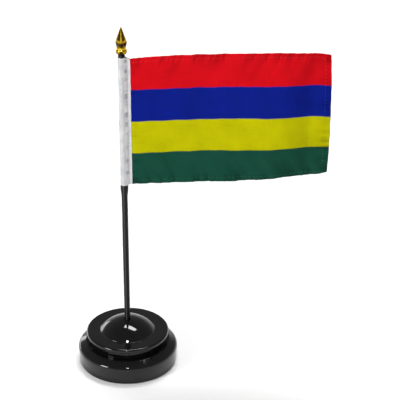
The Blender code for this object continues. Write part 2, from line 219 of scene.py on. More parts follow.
# Stitches
STITCH_RADIUS = 0.14 * MM
STITCH_LENGTH = 1.9 * MM
STITCH_PITCH = 3.0 * MM
STITCH_START = 0.8 * MM  # of the hem stitches from the sleeve
SEAM_END = 1.5 * MM  # of the sleeve's stitches from its ends

# Studio
CAMERA_FRONT = 1.16
CAMERA_HEIGHT = 0.761
CAMERA_TARGET_HEIGHT = 0.139
CAMERA_LENS = 160  # in millimetres
FLOOR_SIZE = 12
FAR_FLOOR_GLOW = 0.6  # light from the floor beyond the reach of the lights, which keeps it pale
GLOW_START, GLOW_END = 0.5, 1.7  # metres from the staff, where it begins and is full
# Greys of the room by the height of the direction, from 0 at the horizon to 1 overhead
ROOM_GREYS = [(0.0, 0.95), (0.13, 0.88), (0.32, 0.28), (1.0, 0.18)]
# Name, place, the point faced, width, height and watts
SOFTBOXES = [
    ("key", (0.26, 0.56, 2.2), (0, 0, 0.035), 1.24, 0.44, 38),
    ("front", (0.0, -0.75, 1.15), (0.05, 0, 0.1), 0.11, 0.11, 4),
    ("fill", (-1.3, -0.95, 0.8), (0.05, 0, 0.16), 0.45, 0.6, 18),
    ("card", (-0.75, 0.95, 0.16), (0, 0, 0.05), 0.5, 0.26, 1.4),
]

# ---------------------------------------------------------------- materials


def srgb(red, green, blue):
    """Shader values of an 8-bit screen colour."""
    values = []
    for part in (red, green, blue):
        part /= 255
        values.append(part / 12.92 if part <= 0.04045 else ((part + 0.055) / 1.055) ** 2.4)
    return (*values, 1.0)


class Look:
    """A Principled material with short calls for the nodes that drive it."""

    def __init__(self, name, **inputs):
        self.material = bpy.data.materials.new(name)
        self.material.use_nodes = True
        self.tree = self.material.node_tree
        self.shader = self.tree.nodes["Principled BSDF"]
        for key, value in inputs.items():
            self.shader.inputs[key.replace("_", " ")].default_value = value

    def node(self, kind, links=(), **settings):
        made = self.tree.nodes.new(kind)
        for key, value in settings.items():
            if hasattr(made, key):
                setattr(made, key, value)
            else:
                made.inputs[key.replace("_", " ")].default_value = value
        for key, source in dict(links).items():
            self.tree.links.new(source, made.inputs[key])
        return made

    def link(self, source, key):
        self.tree.links.new(source, self.shader.inputs[key])

    def place(self):
        """The object's own coordinates, in metres."""
        return self.node("ShaderNodeTexCoord").outputs["Object"]

    def cut(self):
        """The place on the cloth before it was hung, in metres."""
        return self.node("ShaderNodeAttribute", attribute_name="cut").outputs["Vector"]

    def painted_light_and_shade(self):
        """Painted light and shade, from 0 to 1: shade in the cloth's creases and folds and on the finial,
        and a highlight along the staff's parting lines.
        """
        return self.node("ShaderNodeAttribute", attribute_name="painted_light_and_shade").outputs["Fac"]

    def math(self, operation, first, second=0.0):
        made = self.node("ShaderNodeMath", operation=operation)
        for socket, value in zip(made.inputs, (first, second)):
            if isinstance(value, (int, float)):
                socket.default_value = value
            else:
                self.tree.links.new(value, socket)
        return made.outputs[0]

    def scaled(self, vector, x, y, z):
        made = self.node("ShaderNodeMapping", {"Vector": vector})
        made.inputs["Scale"].default_value = (x, y, z)
        return made.outputs[0]

    def noise(self, vector, scale, detail=3.0, roughness=0.55):
        return self.node(
            "ShaderNodeTexNoise", {"Vector": vector}, Scale=scale, Detail=detail, Roughness=roughness
        ).outputs["Fac"]

    def spread(self, value, low, high, from_low=0.3, from_high=0.7):
        """The value, from its usual span onto low to high."""
        made = self.node("ShaderNodeMapRange", {"Value": value})
        for key, number in (
            ("From Min", from_low),
            ("From Max", from_high),
            ("To Min", low),
            ("To Max", high),
        ):
            made.inputs[key].default_value = number
        return made.outputs[0]

    def ramp(self, value, stops):
        made = self.node("ShaderNodeValToRGB", {"Fac": value})
        ramp = made.color_ramp
        while len(ramp.elements) < len(stops):
            ramp.elements.new(0.5)
        for element, (position, colour) in zip(ramp.elements, stops):
            element.position = position
            element.color = colour
        return made.outputs["Color"]

    def mix(self, share, first, second):
        made = self.node("ShaderNodeMix", data_type="RGBA")
        for socket, value in ((made.inputs[0], share), (made.inputs[6], first), (made.inputs[7], second)):
            if hasattr(value, "links"):
                self.tree.links.new(value, socket)
            else:
                socket.default_value = value
        return made.outputs[2]

    def bump(self, height, distance, strength=1.0):
        made = self.node("ShaderNodeBump", {"Height": height}, Distance=distance, Strength=strength)
        self.link(made.outputs[0], "Normal")


def moulded(name, colour, roughness, waviness, specular):
    """Moulded plastic: an even colour with faint flow marks, fine scratches and a little dust, and a painted
    highlight where the painted light-and-shade attribute is set.
    """
    look = Look(name, IOR=1.45)
    look.shader.inputs["Specular IOR Level"].default_value = specular
    place = look.place()
    flow = look.noise(place, 45, 2)
    specks = look.noise(place, 2600, 2)
    scratches = look.noise(look.scaled(place, 900, 60, 300), 1, 4)
    tone = look.ramp(flow, [(0.3, colour), (0.75, tuple(part * 1.5 for part in colour[:3]) + (1,))])
    # Painted highlight: a lighter colour along the staff's parting lines.
    tone = look.mix(look.painted_light_and_shade(), tone, (0.05, 0.05, 0.052, 1))
    dust = look.spread(specks, 0.0, 0.05, 0.66, 0.8)
    look.link(look.mix(dust, tone, (0.22, 0.22, 0.22, 1)), "Base Color")
    rough = look.spread(flow, roughness * 0.75, roughness * 1.25)
    rough = look.math("ADD", rough, look.spread(scratches, 0.0, 0.05, 0.55, 0.75))
    look.link(rough, "Roughness")
    look.bump(look.noise(place, 170, 2), waviness)
    return look.material


def gilt():
    """Metallised plastic: gold, with painted shade and highlights, bright on its ridges and darker between
    them.
    """
    look = Look("gilt", Metallic=1.0)
    place = look.place()
    patches = look.noise(place, 420, 3)
    # Painted shade from the finial's attribute, with a little random tone from the patches.
    shade = look.math("ADD", look.painted_light_and_shade(), look.spread(patches, -0.12, 0.12))
    stops = [(0.0, srgb(238, 208, 84)), (0.3, srgb(186, 148, 28)), (0.65, srgb(98, 74, 12))]
    tone = look.ramp(shade, stops + [(1.0, srgb(42, 30, 6))])
    look.link(tone, "Base Color")
    look.link(look.spread(look.noise(place, 900, 2), 0.09, 0.2), "Roughness")
    look.bump(look.noise(place, 520, 1), 0.035 * MM)
    return look.material


def weave(look, cut, pitch):
    """Height of a plain weave: threads over and under each other, both ways."""
    axes = look.node("ShaderNodeSeparateXYZ", {"Vector": cut})
    turns = 2 * math.pi / pitch
    across = look.math("SINE", look.math("MULTIPLY", axes.outputs["X"], turns))
    along = look.math("SINE", look.math("MULTIPLY", axes.outputs["Y"], turns))
    return look.math("MULTIPLY", across, along)


def printed_cloth():
    """Thin polyester with four equal printed stripes. Slubs and uneven ink vary each of them, and painted
    shade darkens its creases and folds.
    """
    look = Look("printed_cloth", Roughness=0.8, Sheen_Weight=0.1, Sheen_Roughness=0.4)
    look.shader.inputs["Specular IOR Level"].default_value = 0.1
    cut = look.cut()
    height = look.node("ShaderNodeSeparateXYZ", {"Vector": cut}).outputs["Y"]
    bleed = look.spread(look.noise(cut, 900, 2), -0.05 * MM, 0.05 * MM)
    share = look.math("DIVIDE", look.math("ADD", height, bleed), HOIST)
    red, blue = srgb(189, 13, 23), srgb(12, 27, 119)
    yellow, green = srgb(171, 168, 5), srgb(21, 66, 52)
    soft = 0.002
    stops = [(0.0, green), (0.25 - soft, green), (0.25 + soft, yellow), (0.5 - soft, yellow)]
    stops += [(0.5 + soft, blue), (0.75 - soft, blue), (0.75 + soft, red), (1.0, red)]
    tone = look.ramp(share, stops)
    ink = look.spread(look.noise(cut, 55, 4), 0.9, 1.08)
    slubs = look.spread(look.noise(look.scaled(cut, 60, 2400, 1), 1, 3), 0.93, 1.06)
    threads = look.spread(look.noise(look.scaled(cut, 2400, 90, 1), 1, 2), 0.95, 1.05)
    strength = look.math("MULTIPLY", look.math("MULTIPLY", ink, slubs), threads)
    # Painted shade: darker in the puckers' hollows and along the broad folds.
    strength = look.math("MULTIPLY", strength, look.spread(look.painted_light_and_shade(), 1.02, 0.7, 0.0, 1.0))
    tinted = look.node("ShaderNodeVectorMath", {0: tone}, operation="SCALE")
    look.tree.links.new(strength, tinted.inputs["Scale"])
    for key in ("Base Color", "Specular Tint", "Sheen Tint"):
        look.link(tinted.outputs[0], key)
    look.bump(weave(look, cut, 0.36 * MM), 0.03 * MM, 0.5)
    return look.material


def white_satin():
    """White satin weave: bright floats along the sleeve, with a faint grey mottle, and painted shade on the
    tube and beside its seam.
    """
    look = Look("white_satin", Sheen_Weight=0.35, Sheen_Roughness=0.35)
    cut = look.cut()
    mottle = look.noise(cut, 130, 3)
    tone = look.ramp(mottle, [(0.3, srgb(166, 166, 172)), (0.7, srgb(192, 192, 191))])
    streaks_and_painted_shade = look.spread(look.noise(look.scaled(cut, 2600, 120, 1), 1, 2), 0.95, 1.03)
    # Painted shade: the round tube greyer than the flat margin, with dark blotches beside the seam.
    streaks_and_painted_shade = look.math("MULTIPLY", streaks_and_painted_shade, look.spread(look.painted_light_and_shade(), 1.22, 0.5, 0.0, 1.0))
    tinted = look.node("ShaderNodeVectorMath", {0: tone}, operation="SCALE")
    look.tree.links.new(streaks_and_painted_shade, tinted.inputs["Scale"])
    look.link(tinted.outputs[0], "Base Color")
    look.link(look.spread(look.noise(cut, 380, 2), 0.36, 0.52), "Roughness")
    look.bump(weave(look, cut, 0.3 * MM), 0.02 * MM, 0.4)
    return look.material


def thread_material(name, colour):
    """Twisted sewing thread."""
    look = Look(name, Sheen_Weight=0.2)
    place = look.place()
    twist = look.noise(place, 5200, 1)
    dark = tuple(part * 0.7 for part in colour[:3]) + (1,)
    look.link(look.ramp(twist, [(0.35, dark), (0.65, colour)]), "Base Color")
    look.link(look.spread(twist, 0.5, 0.7), "Roughness")
    look.bump(twist, 0.04 * MM)
    return look.material


def hem_thread_material():
    """Clear polyester thread, which takes on the colour of the stripe that it lies on."""
    look = Look("hem_thread")
    look.shader.inputs["Specular IOR Level"].default_value = 0.12
    height = look.node("ShaderNodeSeparateXYZ", {"Vector": look.cut()}).outputs["Y"]
    share = look.math("DIVIDE", height, HOIST)
    red, blue = srgb(204, 46, 52), srgb(34, 48, 132)
    yellow, green = srgb(150, 144, 8), srgb(46, 90, 74)
    stops = [(0.0, green), (0.249, green), (0.25, yellow), (0.5, yellow)]
    stops += [(0.501, blue), (0.75, blue), (0.751, red), (1.0, red)]
    twist = look.noise(look.place(), 5200, 1)
    tinted = look.node("ShaderNodeVectorMath", {0: look.ramp(share, stops)}, operation="SCALE")
    look.tree.links.new(look.spread(twist, 0.85, 1.1), tinted.inputs["Scale"])
    look.link(tinted.outputs[0], "Base Color")
    look.link(look.spread(twist, 0.45, 0.65), "Roughness")
    look.bump(twist, 0.04 * MM)
    return look.material


def felt():
    look = Look("felt", Roughness=0.95, Sheen_Weight=0.5)
    place = look.place()
    fibres = look.noise(look.scaled(place, 1, 1, 3), 1400, 5, 0.7)
    tone = look.ramp(fibres, [(0.35, (0.008, 0.008, 0.009, 1)), (0.7, (0.035, 0.035, 0.038, 1))])
    look.link(tone, "Base Color")
    look.bump(fibres, 0.25 * MM)
    return look.material


def iron():
    look = Look("iron", Metallic=1.0)
    place = look.place()
    grain = look.noise(place, 500, 5, 0.6)
    look.link(look.ramp(grain, [(0.35, (0.09, 0.07, 0.06, 1)), (0.65, (0.24, 0.23, 0.22, 1))]), "Base Color")
    look.link(look.spread(grain, 0.45, 0.8), "Roughness")
    look.bump(grain, 0.2 * MM)
    return look.material


# ---------------------------------------------------------------- meshes


def piece(name, mesh, look, body, replaced, smooth=28):
    """A piece of the model from a bmesh. Edges sharper than smooth, in degrees, stay crisp."""
    limit = math.radians(smooth)
    for face in mesh.faces:
        face.smooth = True
    for edge in mesh.edges:
        edge.smooth = len(edge.link_faces) == 2 and edge.calc_face_angle() < limit
    data = bpy.data.meshes.new(name)
    mesh.to_mesh(data)
    mesh.free()
    data.materials.append(look)
    obj = bpy.data.objects.new(name, data)
    bpy.context.scene.collection.objects.link(obj)
    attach(obj, body)
    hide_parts(*replaced)
    return obj


def even_normals(obj):
    """Keeps flat faces flat beside their rounded edges, so that gloss shows no false gradients."""
    modifier = obj.modifiers.new("even_normals", "WEIGHTED_NORMAL")
    modifier.keep_sharp = True
    modifier.weight = 80


def rounded(corners, steps=8):
    """The outline through corners (x, y, radius), with each corner but the ends turned into an arc."""
    points = [Vector(corners[0][:2])]
    for before, corner, after in zip(corners, corners[1:], corners[2:]):
        spot, radius = Vector(corner[:2]), corner[2]
        if radius == 0:
            points.append(spot)
            continue
        back = Vector(before[:2]) - spot
        on = Vector(after[:2]) - spot
        half_angle = back.angle(on) / 2
        reach = min(radius / math.tan(half_angle), 0.48 * back.length, 0.48 * on.length)
        middle_way = (back.normalized() + on.normalized()).normalized()
        middle = spot + middle_way * (reach / math.cos(half_angle))
        arm = spot + back.normalized() * reach - middle
        sweep = arm.angle_signed(spot + on.normalized() * reach - middle)
        for step in range(steps + 1):
            points.append(middle + Matrix.Rotation(-sweep * step / steps, 2) @ arm)
    points.append(Vector(corners[-1][:2]))
    return points


def dome(radius, height, foot_z, inner_radius, steps):
    """Outline of a spherical dome, from inner_radius near its top out and down to its foot."""
    ball = (radius**2 + height**2) / (2 * height)
    centre_z = foot_z + height - ball
    start, end = math.asin(inner_radius / ball), math.asin(radius / ball)
    angles = [start + (end - start) * step / steps for step in range(steps + 1)]
    return [Vector((ball * math.sin(a), centre_z + ball * math.cos(a))) for a in angles]


def lathe(outline, sides, closed=False):
    """A mesh turned about Z from an outline of radius against height."""
    mesh = bmesh.new()
    verts = [mesh.verts.new((p.x, 0, p.y)) for p in outline]
    ends = list(zip(verts, verts[1:]))
    if closed:
        ends.append((verts[-1], verts[0]))
    edges = [mesh.edges.new(pair) for pair in ends]
    bmesh.ops.spin(
        mesh,
        geom=verts + edges,
        cent=(0, 0, 0),
        axis=(0, 0, 1),
        angle=2 * math.pi,
        steps=sides,
        use_merge=True,
    )
    bmesh.ops.remove_doubles(mesh, verts=mesh.verts, dist=0.002 * MM)
    bmesh.ops.recalc_face_normals(mesh, faces=mesh.faces)
    return mesh


def sheet_mesh(columns, rows, point, cut, painted_light_and_shade):
    """A grid of cloth, from each corner's place, its place on the flat cloth and the shade painted on it
    there.
    """
    mesh = bmesh.new()
    cut_layer = mesh.verts.layers.float_vector.new("cut")
    painted_light_and_shade_layer = mesh.verts.layers.float.new("painted_light_and_shade")
    grid = []
    for column in columns:
        line = []
        for row in rows:
            vert = mesh.verts.new(point(column, row))
            vert[cut_layer] = cut(column, row)
            vert[painted_light_and_shade_layer] = max(0.0, min(1.0, painted_light_and_shade(column, row)))
            line.append(vert)
        grid.append(line)
    for left, right in zip(grid, grid[1:]):
        for low in range(len(rows) - 1):
            mesh.faces.new((left[low], right[low], right[low + 1], left[low + 1]))
    return mesh


def solid(obj, thickness):
    modifier = obj.modifiers.new("cloth", "SOLIDIFY")
    modifier.thickness = thickness
    modifier.offset = 0


def bell(value, middle, width):
    return math.exp(-(((value - middle) / width) ** 2))


def ramp_up(value, start, width):
    """0 up to start, then evenly up to 1 over the width."""
    return min(1.0, max(0.0, (value - start) / width))


def wander(along, row, pitch):
    """Smooth noise from about -1 to 1 along a line. Each row is a line of its own."""
    return 1.6 * noise.noise(Vector((along / pitch, row, 0.37)))


# ---------------------------------------------------------------- base


def moulded_body(look):
    foot = BASE_RADIUS - WALL_DRAFT
    inside = foot - PLASTIC
    lip = CAP_RADIUS - 0.4 * MM
    corners = [
        (OPENING_RADIUS, DECK_Z - PLASTIC / 2, 0),
        (OPENING_RADIUS, DECK_Z, 0.25 * MM),
        (lip - 0.2 * MM, DECK_Z, 0.3 * MM),
        (lip, LIP_Z + 0.15 * MM, 0.5 * MM),
        (lip + 1.1 * MM, LIP_Z + 0.1 * MM, 0.9 * MM),
        (BASE_RADIUS, WALL_HEIGHT - 0.6 * MM, 3.2 * MM),
        (foot, body_low.z, 0.8 * MM),
        (inside, body_low.z, 0.2 * MM),
        (inside, WALL_HEIGHT - 2.6 * MM, 0.8 * MM),
        (CAP_RADIUS, DECK_Z - PLASTIC, 0.8 * MM),
        (OPENING_RADIUS, DECK_Z - PLASTIC, 0.2 * MM),
        (OPENING_RADIUS, DECK_Z - PLASTIC / 2, 0),
    ]
    mesh = lathe(rounded(corners)[:-1], 160, closed=True)
    even_normals(piece("moulded_body", mesh, look, "base", ["base_body"]))


def moulded_cap(look):
    top = dome(DOME_RADIUS, DOME_HEIGHT - DOME_STEP, RING_Z + DOME_STEP, MOUTH_RADIUS, 28)
    ceiling = dome(DOME_RADIUS - PLASTIC, DOME_HEIGHT - 0.4 * MM, RING_Z - PLASTIC, BOSS_RADIUS, 10)
    neck_inside, plug_inside = NECK_RADIUS - PLASTIC, PLUG_RADIUS - PLASTIC
    bore = [
        (0, BORE_Z, 0),
        (BORE_RADIUS, BORE_Z, 0.2 * MM),
        (BORE_RADIUS, top[0].y - 0.5 * MM, 0.3 * MM),
        (MOUTH_RADIUS, top[0].y, 0.25 * MM),
        (*top[1], 0),
    ]
    flank = [
        (*top[-2], 0),
        (*top[-1], 0.45 * MM),
        (DOME_RADIUS + 0.2 * MM, RING_Z, 0.3 * MM),
        (CAP_RADIUS, RING_Z, 1.9 * MM),
        (CAP_RADIUS, RIM_Z, 0.9 * MM),
        (NECK_RADIUS, RIM_Z - 0.3 * MM, 0.8 * MM),
        (NECK_RADIUS, DECK_Z + 0.3 * MM, 0.2 * MM),
        (PLUG_RADIUS, DECK_Z + 0.3 * MM, 0),
        (PLUG_RADIUS, cap_low.z + PLUG_RISE, 0.4 * MM),
        (plug_inside, cap_low.z + PLUG_RISE, 0.2 * MM),
        (plug_inside, DECK_Z + PLASTIC, 0),
        (neck_inside, DECK_Z + 2 * PLASTIC, 0),
        (neck_inside, RING_Z - PLASTIC, 0.8 * MM),
        (*ceiling[-1], 0),
    ]
    boss = [(*ceiling[0], 0), (BOSS_RADIUS, cap_low.z, 0.4 * MM), (0, cap_low.z, 0)]
    outline = rounded(bore)[:-1] + top[1:-2] + rounded(flank)[:-1] + ceiling[:0:-1] + rounded(boss)
    mesh = lathe(outline, 160)
    even_normals(piece("moulded_cap", mesh, look, "base", ["base_cap"]))


# ---------------------------------------------------------------- staff and finial


def add_parting_lines(mesh):
    """A faint raised line down the staff's front and back left by the mould, with a painted highlight along
    it.
    """
    layer = mesh.verts.layers.float.new("painted_light_and_shade")
    for vert in mesh.verts:
        radius = math.hypot(vert.co.x, vert.co.y)
        if radius < SLEEVED_RADIUS * 0.9:
            continue
        angle = math.atan2(vert.co.y, vert.co.x) - PARTING_ANGLE
        off = abs((angle + math.pi / 2) % math.pi - math.pi / 2)
        # Painted highlight: strongest on the line, fading to either side.
        vert[layer] = bell(off, 0, PARTING_WIDTH)
        lift = 1 + PARTING_HEIGHT / radius * bell(off, 0, PARTING_WIDTH / 2)
        vert.co.x *= lift
        vert.co.y *= lift


def moulded_staff(look):
    foot = staff_low.z
    collar, collar_end = foot + COLLAR_HEIGHT, foot + COLLAR_HEIGHT - COLLAR_LENGTH
    top = staff_high.z - SPIGOT_HEIGHT
    corners = [
        (0, staff_high.z, 0),
        (SPIGOT_RADIUS, staff_high.z, 0.4 * MM),
        (SPIGOT_RADIUS, top, 0),
        (TOP_COLLAR_RADIUS, top, 0.3 * MM),
        (TOP_COLLAR_RADIUS, top - TOP_COLLAR_HEIGHT, 0.3 * MM),
        (SLEEVED_RADIUS, top - TOP_COLLAR_HEIGHT, 0),
        (SLEEVED_RADIUS, foot + NECK_HEIGHT, 0),
        (COLLAR_RADIUS, collar, 0.8 * MM),
        (COLLAR_RADIUS, collar_end, 1.6 * MM),
        (STAFF_RADIUS, collar_end - COLLAR_FLARE, 12 * MM),
        (FOOT_RADIUS, foot + FOOT_BEVEL_HEIGHT, 0.5 * MM),
        (FOOT_RADIUS - FOOT_BEVEL, foot, 0.4 * MM),
        (0, foot, 0),
    ]
    mesh = lathe(rounded(corners, 6), 72)
    add_parting_lines(mesh)
    even_normals(piece("moulded_staff", mesh, look, "staff", ["staff"]))


def finial_shade(angle, height):
    """How much painted shade darkens the finial, out of 1: on the head's faces, on the lower half but for a
    painted glint on the ball, under the head's shoulder and under the ball's brow."""
    face = abs(math.sin(2 * angle))
    ridge = 1 - face
    head = ramp_up(height, FACES_FROM, 1.2 * MM)
    below_tip = ramp_up(FINIAL_HEIGHT - height, 0, TIP_LENGTH)
    lower = 0.4 * ramp_up(LOWER_TO - height, 0, 1.0 * MM)
    lower -= 0.3 * bell(height, GLINT_HEIGHT, GLINT_WIDTH)
    shoulder = bell(height, UNDER_HEAD, UNDER_HEAD_WIDTH)
    brow = ramp_up(BROW_HEIGHT - height - BROW_DROP * face, 0, 0.6 * MM)
    shade = 0.95 * head * below_tip * face**0.6 + lower
    return min(1.0, shade + 0.2 * shoulder + 0.8 * shoulder * ridge**0.4 + brow * ridge**0.35)


def spear_finial(look):
    """Round at its ball, with four ridges on its head. The ridges face front, back and sideways."""
    head = FINIAL_HEIGHT - FINIAL_HEAD_HEIGHT
    middle = FINIAL_BALL_HEIGHT / 2
    sections = []
    for step in range(15):
        share = 0.02 + 0.98 * (step / 14)
        sections.append((FINIAL_HEIGHT - head * share, FINIAL_RADIUS * share**0.9, 1.0))
    for step in range(1, 9):
        share = step / 8
        radius = FINIAL_RADIUS + (FINIAL_WAIST_RADIUS - FINIAL_RADIUS) * share
        height = FINIAL_HEAD_HEIGHT + (FINIAL_WAIST_HEIGHT - FINIAL_HEAD_HEIGHT) * share
        sections.append((height, radius, 1 - share**3))
    for slope in range(44, -75, -8):
        turn = math.radians(slope)
        sections.append((middle * (1 + math.sin(turn)), FINIAL_RADIUS * math.cos(turn) ** 0.6, 0.0))
    hole, hole_depth = SPIGOT_RADIUS + SPIGOT_CLEARANCE, SPIGOT_HEIGHT + SPIGOT_CLEARANCE
    sections += [(0, TOP_COLLAR_RADIUS - 0.3 * MM, 0.0), (0, hole, 0.0), (hole_depth, hole, 0.0)]
    sides = 64
    mesh = bmesh.new()
    layer = mesh.verts.layers.float.new("painted_light_and_shade")
    rings = []
    for height, radius, squareness in sections:
        ring = []
        for side in range(sides):
            angle = 2 * math.pi * side / sides
            # The head's section is a square with its corners on the ridges.
            square = 1 / (abs(math.cos(angle)) + abs(math.sin(angle)))
            reach = radius * (1 - squareness + squareness * square)
            spot = (reach * math.cos(angle), reach * math.sin(angle), finial_low.z + height)
            vert = mesh.verts.new(spot)
            # Painted shade and glints, baked into the attribute that the gilt reads.
            vert[layer] = finial_shade(angle, height)
            ring.append(vert)
        rings.append(ring)
    tip = mesh.verts.new((0, 0, finial_low.z + FINIAL_HEIGHT))
    blind = mesh.verts.new((0, 0, finial_low.z + hole_depth))
    for side in range(sides):
        after = (side + 1) % sides
        mesh.faces.new((tip, rings[0][side], rings[0][after]))
        for upper, lower in zip(rings, rings[1:]):
            mesh.faces.new((upper[side], lower[side], lower[after], upper[after]))
        mesh.faces.new((blind, rings[-1][after], rings[-1][side]))
    bmesh.ops.recalc_face_normals(mesh, faces=mesh.faces)
    piece("spear_finial", mesh, look, "staff", ["finial"], smooth=24)


# ---------------------------------------------------------------- flag


def hang(out, up):
    """Where the flag's front is, out metres from the sleeve and up metres from the bottom edge."""
    free = max(out, 0.0)
    along, share = free / CLOTH_LENGTH, up / HOIST
    wave = math.sin(2 * math.pi * (WAVES * along + WAVE_SLANT * (1 - share)))
    aside = 2 * share - 1
    curl = CORNER_CURL * along**6 * aside**2
    rise = FLY_RISE * along - (FLY_DROP + CORNER_PULL * aside**3) * along**10
    # The top corner is tucked under the end of the sleeve.
    rise -= TOP_TUCK * math.exp(-free / TOP_TUCK_REACH) * share**5
    uneven = noise.noise(Vector((out / (9 * MM), share * 1.3, 8.8)))
    rise += EDGE_WANDER * uneven * ramp_up(free, 0, 8 * MM)
    x = CLOTH_START + out + (FLY_BULGE * (1 - aside**2) - FLY_SHRINK) * along**8
    x += FLY_WANDER * along**8 * noise.noise(Vector((up / (8 * MM), 0.5, 3.9)))
    y = BOW * along**1.3 * wave + curl + folds(free, up) + puckers(out, up)
    return Vector((x, y, sleeve_low.z + up + rise))


def folds(out, up):
    """Soft folds: a valley before the fly, a slanting one from the bottom hem, the outer half of that
    hem turned back, and loose unevenness."""
    free = 1 - math.exp(-out / HOLD)
    valley = math.hypot(out - VALLEY_OUT - VALLEY_LEAN * (up - VALLEY_MIDDLE), VALLEY_ROUNDING)
    total = VALLEY_DEPTH * math.exp(-valley / VALLEY_WIDTH)
    slant = out - SLANT_OUT + SLANT_LEAN * (up - SLANT_UP)
    total += SLANT_DEPTH * bell(slant, 0, SLANT_WIDTH) * bell(up, 6 * MM, 20 * MM)
    total += TURN_BACK * bell(out, TURN_BACK_OUT, TURN_BACK_WIDTH) * math.exp(-up / TURN_BACK_REACH)
    total += LOOSE_BROAD * free * noise.noise(Vector((out / (30 * MM), up / (44 * MM), 2.1)))
    total += LOOSE_FINE * free * noise.noise(Vector((out / (12 * MM), up / (10 * MM), 5.3)))
    return total


def puckers(out, up):
    """The small waves that the hem and sleeve seams draw into the cloth, with drag lines into it."""
    total = 0.0
    for line, from_seam in ((1.0, up - SEAM_IN), (2.0, HOIST - SEAM_IN - up)):
        near = math.exp(-from_seam / (2.0 * MM)) if from_seam > 0 else ON_THE_HEM
        far = math.exp(-abs(from_seam) / DRAG_REACH)
        total += HEM_PUCKER * near * wander(out + 0.3 * from_seam, line * 7.7, HEM_PUCKER_LENGTH)
        total += DRAG * far * wander(out + 0.5 * from_seam, line * 5.1, DRAG_LENGTH)
    from_fly = CLOTH_LENGTH - FLY_SEAM_IN - out
    near = math.exp(-from_fly / (2.4 * MM)) if from_fly > 0 else ON_THE_HEM
    total += FLY_PUCKER * near * wander(up, 31.3, FLY_PUCKER_LENGTH)
    beside_sleeve = math.exp(-max(out, 0.0) / (4 * MM))
    total += HOIST_PUCKER * beside_sleeve * wander(up, 47.1, HOIST_PUCKER_LENGTH)
    return total * ramp_up(out, 0, 1.5 * MM)


def fold_shade(out, up):
    """Painted shade along the cloth's broad folds: its lower part from the slanting fold to the fly, the hem
    that is turned back, and the valley's side towards the sleeve."""
    beyond_slant = ramp_up(out + 0.6 * up, 62 * MM, 22 * MM)
    lower = LOWER_SHADE * beyond_slant * bell(up, 0, 20 * MM)
    hem = HEM_SHADE * bell(out, 108 * MM, 26 * MM) * math.exp(-up / (4 * MM))
    valley = VALLEY_SHADE * bell(out, 121 * MM, 9 * MM)
    return lower + hem + valley


def folded_line(length, low_hem, high_hem):
    """Stations across a sheet with hems: (place, depth behind the front). A low hem of 0 has no fold."""
    turns = [math.radians(angle) for angle in (150, 110, 70, 30)]
    stations = []
    if low_hem:
        stations += [(low_hem * share, 2 * FOLD_RADIUS) for share in (1, 0.75, 0.5, 0.25)]
        stations += [(FOLD_RADIUS * (1 - math.sin(t)), FOLD_RADIUS * (1 - math.cos(t))) for t in turns]
    count = round(length / CLOTH_PITCH)
    first = 1 if low_hem else 0
    stations += [(length * step / count, 0.0) for step in range(first, count)]
    for turn in reversed(turns):
        inwards, behind = FOLD_RADIUS * (1 - math.sin(turn)), FOLD_RADIUS * (1 - math.cos(turn))
        stations.append((length - inwards, behind))
    stations += [(length - high_hem * share, 2 * FOLD_RADIUS) for share in (0.25, 0.5, 0.75, 1)]
    return stations


def flag(look):
    columns = folded_line(CLOTH_LENGTH, 0, FLY_HEM)
    columns = [(-TUCK, 0.0), (-TUCK / 2, 0.0)] + columns
    rows = folded_line(HOIST, HEM, HEM)

    def point(column, row):
        return hang(column[0], row[0]) + Vector((0, column[1] + row[1], 0))

    def cut(column, row):
        return Vector((column[0], row[0], 0))

    def painted_light_and_shade(column, row):
        # Painted shade: in the puckers' hollows and along the broad folds.
        return puckers(column[0], row[0]) / FULLY_SHADED_PUCKER + fold_shade(column[0], row[0])

    mesh = sheet_mesh(columns, rows, point, cut, painted_light_and_shade)
    obj = piece("printed_flag", mesh, look, "flag", ["flag_cloth"], smooth=60)
    solid(obj, CLOTH)
    return obj


def sleeve_section():
    """The sleeve's section from its front margin round the staff to the back one: pinched and puffed
    places, and which side they are on."""
    corners = []
    for (x0, y0), (x1, y1) in zip(PINCHED, PUFFED):
        corners.append((Vector((x0, -y0)) * MM, Vector((x1, -y1)) * MM, -1))
    sweep = range(TUBE_START, 361 - TUBE_START, 6)
    for angle in sweep:
        turn = math.radians(-angle)
        spot = Vector((math.cos(turn), math.sin(turn))) * SLEEVE_RADIUS
        corners.append((spot, spot, 0))
    for (x0, y0), (x1, y1) in zip(reversed(PINCHED), reversed(PUFFED)):
        corners.append((Vector((x0, y0)) * MM, Vector((x1, y1)) * MM, 1))
    return corners


def puff(up, side):
    """How far the sleeve stands off beside its seam, from 0 where it is pinched to 1."""
    waves = wander(up, 3.1 + side, 3.5 * MM) + 0.45 * wander(up, 8.9 + side, 1.7 * MM)
    return max(0.0, min(1.0, 0.5 + 0.85 * waves))


